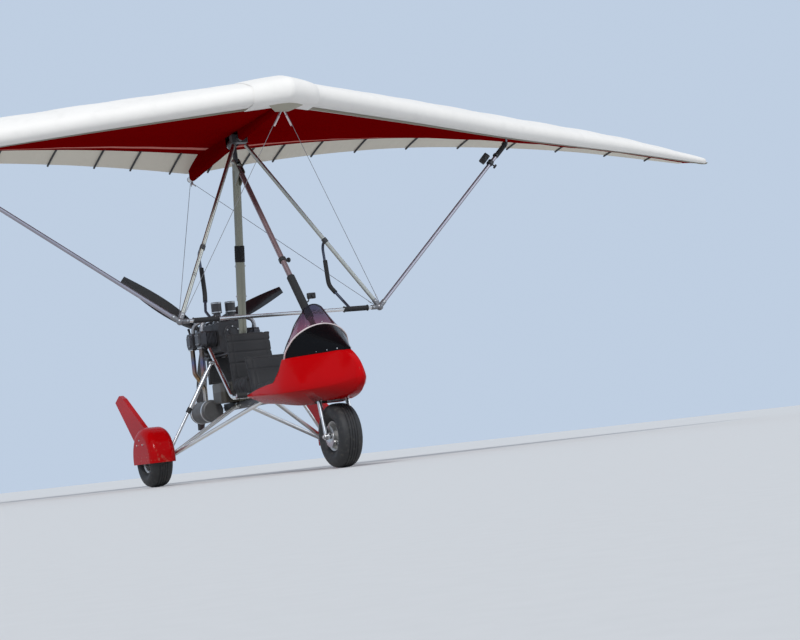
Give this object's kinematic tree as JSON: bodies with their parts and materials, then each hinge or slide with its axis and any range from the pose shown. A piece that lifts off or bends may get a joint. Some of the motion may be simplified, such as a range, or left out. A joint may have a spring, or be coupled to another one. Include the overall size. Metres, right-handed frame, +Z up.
{
  "type": "microlight aircraft",
  "caption": "Weight-shift microlight aircraft: a tandem-seat trike with pod, pusher propeller and spatted rear wheels under a strut-braced flexible wing.",
  "frame": {"origin": "on the ground, under the middle of the aircraft's bounding box", "axes": "+X to port, along the wing; -Y to the nose; +Z up. It stands on its three wheels."},
  "size_m": [10.36, 3.353, 2.9634],
  "materials": {
    "frame_alloy": "anodised, satin",
    "mast_alloy": "anodised olive grey, satin",
    "stay_alloy": "anodised, satin",
    "pod_gelcoat": "gloss gelcoat",
    "hood_gelcoat": "gloss black gelcoat",
    "screen_tint": "smoke tinted polycarbonate",
    "panel_black": "textured",
    "rail_alloy": "polished",
    "seat_cloth": "woven black cover over foam",
    "tank_plastic": "translucent moulded polyethylene",
    "bearer_steel": "powder coated, satin",
    "radiator_core": "matt black core",
    "training_bar_paint": "dark anodised",
    "engine_alloy": "cast, matt",
    "cylinder_alloy": "cast, finned",
    "gearbox_paint": "cast, painted",
    "intake_paint": "satin",
    "silencer_steel": "stainless, brushed",
    "exhaust_steel": "heat tinted stainless",
    "gear_alloy": "anodised silver",
    "damper_steel": "polished",
    "spat_gelcoat": "gloss gelcoat",
    "fork_steel": "plated, satin",
    "foot_bar_alloy": "satin",
    "tyre_rubber": "smooth black rubber",
    "rim_paint": "silver paint",
    "hub_alloy": "machined, anodised",
    "blade_composite": "dark composite, satin gloss",
    "hang_block_alloy": "machined, black anodised",
    "keel_alloy": "anodised, satin",
    "sail_cloth": "coated sail cloth: white nose band, red undersurface, cream trailing part",
    "pocket_cloth": "coated sail cloth",
    "bracket_paint": "anodised black",
    "upright_alloy": "polished",
    "bar_alloy": "polished",
    "corner_plastic": "moulded black covers",
    "strut_alloy": "anodised, satin",
    "plate_steel": "stainless",
    "wire_steel": "stranded stainless wire"
  },
  "bodies": {
    "trike": {"base_tube": "frame_alloy", "mast": "mast_alloy", "front_stay": "stay_alloy", "pod": "pod_gelcoat", "hood": "hood_gelcoat", "windscreen": "screen_tint", "instrument_panel": "panel_black", "seat_frame": "rail_alloy", "front_seat": "seat_cloth", "rear_seat": "seat_cloth", "fuel_tank": "tank_plastic", "engine_bearers": "bearer_steel", "radiator": "radiator_core", "engine_case": "engine_alloy", "cylinders": "cylinder_alloy", "gearbox": "gearbox_paint", "intake": "intake_paint", "silencer": "silencer_steel", "exhaust_pipes": "exhaust_steel", "gear_legs": "gear_alloy", "suspension_struts": "damper_steel", "spats": "spat_gelcoat"},
    "fork": {"fork": "fork_steel", "foot_bar": "foot_bar_alloy"},
    "front_wheel": {"front_tyre": "tyre_rubber", "front_rim": "rim_paint"},
    "starboard_wheel": {"starboard_tyre": "tyre_rubber", "starboard_rim": "rim_paint"},
    "port_wheel": {"port_tyre": "tyre_rubber", "port_rim": "rim_paint"},
    "propeller": {"propeller_hub": "hub_alloy", "propeller_blades": "blade_composite"},
    "hang_block": {"hang_block": "hang_block_alloy"},
    "wing": {"keel_tube": "keel_alloy", "sail_starboard": "sail_cloth", "sail_port": "sail_cloth", "keel_pocket": "pocket_cloth", "apex_bracket": "bracket_paint", "uprights": "upright_alloy", "base_bar": "bar_alloy", "training_bars": "training_bar_paint", "corner_fittings": "corner_plastic", "wing_struts": "strut_alloy", "nose_plate": "plate_steel", "nose_wires": "wire_steel", "tail_wires": "wire_steel"}
  },
  "joints": [
    {"name": "steering", "type": "hinge", "parent": "trike", "child": "fork", "pos_m": [0, -1.0865, 0.605], "axis": [0, 0.342, 0.9397], "range_deg": [-30, 30]},
    {"name": "front_wheel_spin", "type": "hinge", "parent": "fork", "child": "front_wheel", "pos_m": [0, -1.1865, 0.233], "axis": [1, 0, 0], "continuous": true},
    {"name": "starboard_wheel_spin", "type": "hinge", "parent": "trike", "child": "starboard_wheel", "pos_m": [-0.8, 0.6135, 0.222], "axis": [1, 0, 0], "continuous": true},
    {"name": "port_wheel_spin", "type": "hinge", "parent": "trike", "child": "port_wheel", "pos_m": [0.8, 0.6135, 0.222], "axis": [1, 0, 0], "continuous": true},
    {"name": "propeller_spin", "type": "hinge", "parent": "trike", "child": "propeller", "pos_m": [0, 1.4035, 1.235], "axis": [0, 1, 0], "continuous": true},
    {"name": "wing_pitch", "type": "hinge", "parent": "trike", "child": "hang_block", "pos_m": [0, 0.2585, 2.485], "axis": [1, 0, 0], "range_deg": [-11, 12]},
    {"name": "wing_roll", "type": "hinge", "parent": "hang_block", "child": "wing", "pos_m": [0, 0.27418, 2.63418], "axis": [0, 0.9945, -0.1045], "range_deg": [-20, 20]}
  ]
}
